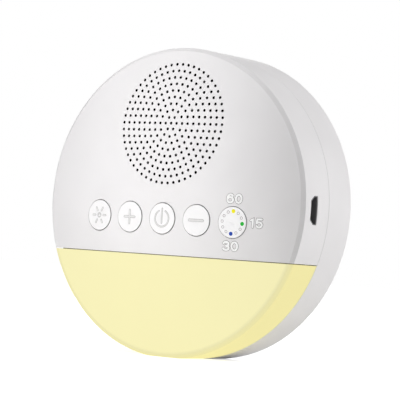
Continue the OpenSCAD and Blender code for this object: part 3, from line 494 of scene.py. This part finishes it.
# Black sleeves inside the grille's holes, painted shade in each hole, on rings of 6, 12, 18 ... round the
# middle one
def buildGrilleHoleShade():
    shadeSleeve = {"rings": 9, "pitch": 2.14, "holeRadius": 0.48, "fit": 0.005, "wall": 0.04, "length": 1.1,
              "sunk": 0.03, "sides": 16}
    justUnder = 0.0001  # keeps the last hole of a ring in that ring when the formula is rounded up
    sizes = {
        "Holes": 1 + 3 * shadeSleeve["rings"] * (shadeSleeve["rings"] + 1), "Pitch": shadeSleeve["pitch"],
        "Middle": (*placeOnFace("grille_cloth"), 0.0),
        "Ring Radius": shadeSleeve["holeRadius"] - shadeSleeve["fit"] - shadeSleeve["wall"] / 2, "Ring Wall": shadeSleeve["wall"],
        "Ring Height": shadeSleeve["length"], "Ring Sides": shadeSleeve["sides"], "Dome Radius": domeRadius,
        "Dome Centre": domeCentre - shadeSleeve["sunk"] - shadeSleeve["length"] / 2, "Material": holeShadeBlack}
    tree, given = geometryTree("grilleHoleShadeTree", sizes)
    # Rings 1 to n hold 3 n (n + 1) holes, so hole i is in ring (sqrt(12 i + 9) - 3) / 6, rounded up
    index = addNode(tree, "GeometryNodeInputIndex")
    scaled = addNode(tree, "ShaderNodeMath", {0: index, 1: 12.0, 2: 9.0}, operation="MULTIPLY_ADD")
    root = addNode(tree, "ShaderNodeMath", {0: scaled}, operation="SQRT")
    partRing = addNode(tree, "ShaderNodeMath", {0: root, 1: 1 / 6, 2: -3 / 6 - justUnder},
                       operation="MULTIPLY_ADD")
    ring = addNode(tree, "ShaderNodeMath", {0: partRing}, operation="CEIL")
    # Its step round the ring counts from the first hole after the middle one and the inner rings
    inner = addNode(tree, "ShaderNodeMath", {0: ring, 1: 1.0}, operation="SUBTRACT")
    pairs = addNode(tree, "ShaderNodeMath", {0: ring, 1: inner}, operation="MULTIPLY")
    first = addNode(tree, "ShaderNodeMath", {0: pairs, 1: 3.0, 2: 1.0}, operation="MULTIPLY_ADD")
    step = addNode(tree, "ShaderNodeMath", {0: index, 1: first}, operation="SUBTRACT")
    sixths = addNode(tree, "ShaderNodeMath", {0: step, 1: ring}, operation="DIVIDE")
    angle = addNode(tree, "ShaderNodeMath", {0: sixths, 1: math.radians(60)}, operation="MULTIPLY")
    reach = addNode(tree, "ShaderNodeMath", {0: ring, 1: given["Pitch"]}, operation="MULTIPLY")
    points = addNode(tree, "GeometryNodePoints", {
        "Count": given["Holes"], "Position": spotOnDome(tree, given, reach, angle)})
    sleeves = addNode(tree, "GeometryNodeInstanceOnPoints", {
        "Points": points, "Instance": ringBand(tree, given)})
    endTree(tree, sleeves, given["Material"])
    return meshFromTree("grilleHoleShadeSleeves", tree, sizes)


grilleHoleShade = buildGrilleHoleShade()
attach(grilleHoleShade, "housing")
print("grille lining:", len(grilleHoleShade.data.polygons), "faces")


# Thin rings that mark the other nine places of the timer button's dial, on its domed top
def buildTimerMarks():
    marks = {"places": 12, "windows": (0, 3, 9), "radius": 0.42, "line": 0.2, "high": 0.08, "proud": 0.03,
             "sides": 24}
    middle = placeOnFace("timer_button")
    window = placeOnFace("timer_window_15", 4)  # in place 0 of the dial
    right, up = window[0] - middle[0], window[1] - middle[1]
    sizes = {
        "Places": marks["places"], "Turn": math.radians(round(math.degrees(math.atan2(up, right)), 1)),
        "Middle": (*middle, 0.0), "Dial Radius": round(math.hypot(right, up), 2),
        "Ring Radius": marks["radius"], "Ring Wall": marks["line"], "Ring Height": marks["high"],
        "Ring Sides": marks["sides"], "Dome Radius": capRadius,
        "Dome Centre": domeCentre + marks["proud"] - marks["high"] / 2, "Material": inks["greyEdgeShadeAndMarks"]}
    tree, given = geometryTree("timerMarksTree", sizes)
    index = addNode(tree, "GeometryNodeInputIndex")
    share = addNode(tree, "ShaderNodeMath", {0: index, 1: given["Places"]}, operation="DIVIDE")
    angle = addNode(tree, "ShaderNodeMath", {0: share, 1: math.tau, 2: given["Turn"]},
                    operation="MULTIPLY_ADD")
    spot = spotOnDome(tree, given, given["Dial Radius"], angle)
    free = addNode(tree, "GeometryNodePoints", {"Count": given["Places"], "Position": spot})
    # The windows stand at the right, the top and the bottom. Deleting moves the later places
    # down, so the last window goes first.
    for place in reversed(marks["windows"]):
        isWindow = addNode(tree, "ShaderNodeMath", {0: index, 1: float(place)}, operation="COMPARE")
        free = addNode(tree, "GeometryNodeDeleteGeometry", {"Geometry": free, "Selection": isWindow},
                       domain="POINT")
    # A ring's axis points away from the dome's centre. The nine rings that are left are counted
    # anew, so each leans as a place up to three steps back would, 0.01 mm off at most.
    centre = addNode(tree, "ShaderNodeCombineXYZ", {2: given["Dome Centre"]})
    outwards = addNode(tree, "ShaderNodeVectorMath", {0: spot, 1: centre}, operation="SUBTRACT")
    lean = addNode(tree, "FunctionNodeAlignEulerToVector", {"Vector": outwards}, axis="Z")
    rings = addNode(tree, "GeometryNodeInstanceOnPoints", {
        "Points": free, "Instance": ringBand(tree, given), "Rotation": lean})
    endTree(tree, rings, given["Material"])
    return meshFromTree("timerDialMarks", tree, sizes)


timerMarks = buildTimerMarks()
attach(timerMarks, "timer_button_body")
print("timer marks:", len(timerMarks.data.polygons), "faces")


# Points along an ellipse, from one angle to another in degrees
def arcPath(centre, across, up, fromAngle, toAngle, steps=36):
    turns = [math.radians(fromAngle + (toAngle - fromAngle) * i / steps) for i in range(steps + 1)]
    path = [(centre[0] + across * math.cos(turn), centre[1] + up * math.sin(turn)) for turn in turns]
    return path[:-1] + path[:1] if abs(toAngle - fromAngle) == 360 else path


# Stations along a path: place, sideways direction, half width. Corners are mitred, and a path
# that doesn't end where it starts tapers at both ends, at these angles, to make them round.
def lineStations(path, half):
    pen = {"taperAngles": (30, 60, 84), "mitreLimit": 0.4}
    closed = path[0] == path[-1]
    spots = [Vector(spot) for spot in (path[:-1] if closed else path)]
    count = len(spots)
    legs = count if closed else count - 1
    headings = [(spots[(i + 1) % count] - spots[i]).normalized() for i in range(legs)]
    stations = []
    for i, spot in enumerate(spots):
        before = headings[i - 1] if closed or i > 0 else headings[0]
        after = headings[min(i, len(headings) - 1)]
        along = (before + after).normalized()
        sideways = Vector((-along.y, along.x)) / max(pen["mitreLimit"], along.dot(after))
        stations.append((spot, sideways, half))
    if not closed:
        for taper in pen["taperAngles"]:
            out, slim = half * math.sin(math.radians(taper)), half * math.cos(math.radians(taper))
            stations.insert(0, (spots[0] - headings[0] * out, stations[0][1], slim))
            stations.append((spots[-1] + headings[-1] * out, stations[-1][1], slim))
    return stations, closed


# Line work raised from a surface, in millimetres: each layer is a width, a height and an ink, with
# bevelled edges, and its back is sunk in what carries it
def raisedLines(name, paths, layers, surface):
    points, faces, slots = [], [], []
    for number, layer in enumerate(layers):
        top, shoulder, back = layer["proud"], layer["proud"] - layer["bevel"], -layer["sunk"]
        for path in paths:
            stations, closed = lineStations(path, layer["width"] / 2)
            first, count = len(points), len(stations)
            for spot, side, half in stations:
                inner = max(half - layer["bevel"], half / 2)
                section = [(-half, back), (-half, shoulder), (-inner, top), (inner, top), (half, shoulder),
                           (half, back)]
                for across, level in section:
                    place = spot + side * across
                    points.append((place.x, place.y, surface(place.x, place.y) + level))
            corners = len(section)
            for i in range(count if closed else count - 1):
                here, there = first + corners * i, first + corners * ((i + 1) % count)
                for k in range(corners):
                    after = (k + 1) % corners
                    faces.append((here + k, there + k, there + after, here + after))
            if not closed:
                faces.append([first + k for k in range(corners)])
                faces.append([len(points) - 1 - k for k in range(corners)])
            slots += [number] * (len(faces) - len(slots))
    mesh = bpy.data.meshes.new(name)
    mesh.from_pydata(points, [], faces)
    for layer in layers:
        mesh.materials.append(inks[layer["ink"]])
    for face, slot in zip(mesh.polygons, slots):
        face.material_index = slot
    mesh.transform(faceMatrix)
    return newPiece(name, mesh)


# Two layers: a wide grey line with a narrower pale one on top, which leaves a grey edge, painted shade along
# the sides of the raised stroke
def edgedLine(width, edge, edgeShade, fillInk):
    return [{"width": width, "proud": 0.04, "sunk": 0.05, "bevel": 0.02, "ink": edgeShade},
            {"width": width - 2 * edge, "proud": 0.07, "sunk": 0.01, "bevel": 0.02, "ink": fillInk}]


def moved(paths, right, up):
    return [[(x + right, y + up) for x, y in path] for path in paths]


# Icons on the caps of the four plain buttons
def buildIcons():
    bulb = {"ring": 0.62, "ringLine": 0.5, "rayFrom": 1.75, "rayTo": 2.75, "rayLine": 0.72, "rays": 6}
    power = {"radius": 2.65, "line": 0.62, "gap": 56, "barFrom": -1.5, "barTo": 3.15}
    sign = {"reach": 2.1, "line": 0.8, "minusReach": 2.5, "minusLine": 0.95}
    edge = 0.2  # width of the grey edge, in mm
    rays = []
    for i in range(bulb["rays"]):
        right, up = math.cos(math.tau * i / bulb["rays"]), math.sin(math.tau * i / bulb["rays"])
        rays.append([(bulb[end] * right, bulb[end] * up) for end in ("rayFrom", "rayTo")])
    ring = arcPath((0, 0), bulb["ring"], bulb["ring"], 0, 360)
    powerArc = arcPath((0, 0), power["radius"], power["radius"],
                       90 + power["gap"] / 2, 450 - power["gap"] / 2)
    powerBar = [(0, power["barFrom"]), (0, power["barTo"])]
    across, upright = [(-sign["reach"], 0), (sign["reach"], 0)], [(0, -sign["reach"]), (0, sign["reach"])]
    minus = [(-sign["minusReach"], 0), (sign["minusReach"], 0)]
    icons = {
        "iconLight": ("light_button_body", rays, bulb["rayLine"]),
        "iconLightRing": ("light_button_body", [ring], bulb["ringLine"]),
        "iconVolumeUp": ("volume_up_button_body", [across, upright], sign["line"]),
        "iconPower": ("power_button_body", [powerArc, powerBar], power["line"]),
        "iconVolumeDown": ("volume_down_button_body", [minus], sign["minusLine"]),
    }
    for name, (carrier, paths, width) in icons.items():
        right, up = placeOnFace(carrier.removesuffix("_body"))
        layers = edgedLine(width, edge, "greyEdgeShadeAndMarks", "iconFill")
        icon = raisedLines(name, moved(paths, right, up), layers, capHeight)
        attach(icon, carrier)
    print("icons:", len(icons))


buildIcons()


# Minutes round the timer button: white figures with a grey edge of painted shade along the sides of their
# raised strokes, laid on the dome. Each figure is drawn by the middle of its strokes, two figures to a
# number.
def buildNumbers():
    stroke = {"width": 0.95, "edge": 0.19}
    tall, wide = 1.25, 1.0  # half the height and half the width of a figure
    figures = {
        "0": [arcPath((0, 0), wide, tall, 0, 360)],
        "1": [[(-0.6, 0.75), (0.1, tall - 0.15), (0.1, -tall)]],
        "3": [arcPath((0, tall / 2), 0.88 * wide, tall / 2, 165, -90),
              arcPath((0, -tall / 2), wide, tall / 2, 90, -165)],
        "5": [[(0.85, tall), (-0.65, tall), (-0.85, 0.02)] + arcPath((-0.02, -0.45), 0.95, 0.8, 145, -150)],
        "6": [arcPath((0.05, 0), 1.05 * wide, tall, 42, 180)
              + arcPath((0, -0.43), wide, tall - 0.43, 180, 540)],
    }
    # Each number's middle, from the middle of the button, and the distance between its figures
    numbers = {"60": (0.2, 7.5, 2.95), "15": (8.1, 0.2, 2.3), "30": (-0.4, -7.4, 2.95)}
    middle = placeOnFace("timer_button")
    for word, (right, up, pitch) in numbers.items():
        paths = []
        for figure, offset in zip(word, (-pitch / 2, pitch / 2)):
            paths += moved(figures[figure], middle[0] + right + offset, middle[1] + up)
        layers = edgedLine(stroke["width"], stroke["edge"], "numberEdgeShade", "numberFill")
        number = raisedLines("number" + word, paths, layers, faceHeight)
        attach(number, "housing")
    print("numbers:", len(numbers))


buildNumbers()

# Lamps: where they stand in metres, size in metres and power in watts. They face the middle of
# the body, apart from two slim strips side by side close to the face, which shade its dome from
# side to side.
bodyMiddle = (0, 0, 0.05)
lamps = {
    "rimRight": {"at": (0.672, 0.420, 0.161), "size": (0.3, 0.6), "power": 2.05},
    "highRight": {"at": (0.648, 0.057, 0.450), "size": (0.3, 0.3), "power": 0.51},
    "highRightBack": {"at": (0.563, 0.325, 0.450), "size": (0.3, 0.3), "power": 0.98},
    "lowRightBack": {"at": (0.655, 0.459, 0.050), "size": (0.3, 0.1), "power": 0.184},
    "lowLeft": {"at": (-0.750, -0.250, 0.050), "size": (0.3, 0.1), "power": 0.29},
    "backLeft": {"at": (-0.450, 0.620, 0.080), "size": (0.5, 0.5), "power": 1.7},
    "highLeft": {"at": (-0.550, 0.000, 0.600), "size": (0.3, 0.3), "power": 0.37},
    "topBack": {"at": (0.000, 0.500, 0.650), "size": (0.4, 0.4), "power": 0.2},
    "overhead": {"at": (0.000, -0.139, 0.838), "size": (0.4, 0.4), "power": 0.827},
    "stripLeft": {"at": (-0.030, -0.090, 0.060), "size": (0.04, 0.4), "power": 0.092,
                  "faces": (-0.030, 0, 0.060)},
    "stripMiddle": {"at": (0.0025, -0.090, 0.060), "size": (0.025, 0.4), "power": 0.057,
                    "faces": (0.0025, 0, 0.060)},
}
for name, lamp in lamps.items():
    light = bpy.data.lights.new(name, "AREA")
    light.shape = "RECTANGLE"
    light.size, light.size_y = lamp["size"]
    light.energy = lamp["power"]
    holder = newPiece(name, light)
    holder.location = lamp["at"]
    away = Vector(lamp["at"]) - Vector(lamp.get("faces", bodyMiddle))
    holder.rotation_euler = away.to_track_quat("Z", "Y").to_euler()
    holder.visible_camera = False
print("lamps:", len(lamps))

# The white round the part: strength 1 is white to the camera. Mirror reflections see it dimmed,
# and it lights the part only faintly.
surroundings = {"white": "#FFFFFF", "mirrored": 0.3, "ambient": 0.217}


# How brightly a ray sees the white: in full if it looks straight or through glass, faintly if it
# is mirrored, and not at all if it only gathers light
def seenWhite(tree):
    path = addNode(tree, "ShaderNodeLightPath")
    mirrored = addNode(tree, "ShaderNodeMath", {
        0: path.outputs["Is Glossy Ray"], 1: surroundings["mirrored"]}, operation="MULTIPLY")
    straight = addNode(tree, "ShaderNodeMath", {
        0: path.outputs["Is Camera Ray"], 1: path.outputs["Is Transmission Ray"]}, operation="MAXIMUM")
    return addNode(tree, "ShaderNodeMath", {0: straight, 1: mirrored}, operation="MAXIMUM")


def buildWorld():
    world = bpy.data.worlds.new("studio")
    bpy.context.scene.world = world
    world.use_nodes = True
    tree = world.node_tree
    tree.nodes.clear()
    strength = addNode(tree, "ShaderNodeMath", {0: seenWhite(tree), 1: surroundings["ambient"]},
                       operation="MAXIMUM")
    sky = addNode(tree, "ShaderNodeBackground", {
        "Color": colour(surroundings["white"]), "Strength": strength})
    addNode(tree, "ShaderNodeOutputWorld", {0: sky})


buildWorld()


# White paper under the part: it keeps the contact shadow and fades into the white round it.
# Its reach and the distances from the middle at which it fades are in metres.
def buildTable():
    table = {"reach": 3.0, "paper": "#F2F2F2", "fadeFrom": 0.08, "fadeTo": 0.3, "whiteNear": 0.6}
    reach = table["reach"]
    mesh = bpy.data.meshes.new("table")
    mesh.from_pydata([(-reach, -reach, 0), (reach, -reach, 0), (reach, reach, 0), (-reach, reach, 0)],
                     [], [(0, 1, 2, 3)])
    material = bpy.data.materials.new("whitePaper")
    material.use_nodes = True
    tree = material.node_tree
    tree.nodes.clear()
    paper = addNode(tree, "ShaderNodeBsdfDiffuse", {"Color": colour(table["paper"])})
    place = addNode(tree, "ShaderNodeTexCoord").outputs["Object"]
    fromMiddle = addNode(tree, "ShaderNodeVectorMath", {0: place}, operation="LENGTH").outputs["Value"]
    fade = addNode(tree, "ShaderNodeMapRange", {
        "Value": fromMiddle, "From Min": table["fadeFrom"], "From Max": table["fadeTo"],
        "To Min": table["whiteNear"], "To Max": 1.0})
    strength = addNode(tree, "ShaderNodeMath", {0: fade, 1: seenWhite(tree)}, operation="MULTIPLY")
    white = addNode(tree, "ShaderNodeEmission", {
        "Color": colour(surroundings["white"]), "Strength": strength})
    both = addNode(tree, "ShaderNodeAddShader", {0: paper, 1: white})
    addNode(tree, "ShaderNodeOutputMaterial", {"Surface": both})
    mesh.materials.append(material)
    return newPiece("table", mesh)


floor = buildTable()
print("world and table set")

# The camera looks from the right of the face, a little below the axis, with a slight roll. Its
# place is in metres from the middle of the face's edge, its turn in degrees.
view = {"place": (0.397354, -0.552, -0.01779), "turn": (91.6216, -4.0285, 34.8831), "lens": 190.711,
        "sensor": 36, "nearest": 0.05, "farthest": 50}
cameraData = bpy.data.cameras.new("camera")
cameraData.lens = view["lens"]
cameraData.sensor_width = view["sensor"]
cameraData.clip_start, cameraData.clip_end = view["nearest"], view["farthest"]
camera = newPiece("camera", cameraData)
camera.location = Vector(view["place"]) + Vector((0, edgeY / 1000, axisHeight / 1000))
camera.rotation_euler = [math.radians(turn) for turn in view["turn"]]
bpy.context.scene.camera = camera
bpy.context.scene.view_settings.view_transform = "Standard"

print("pieces placed; closing")
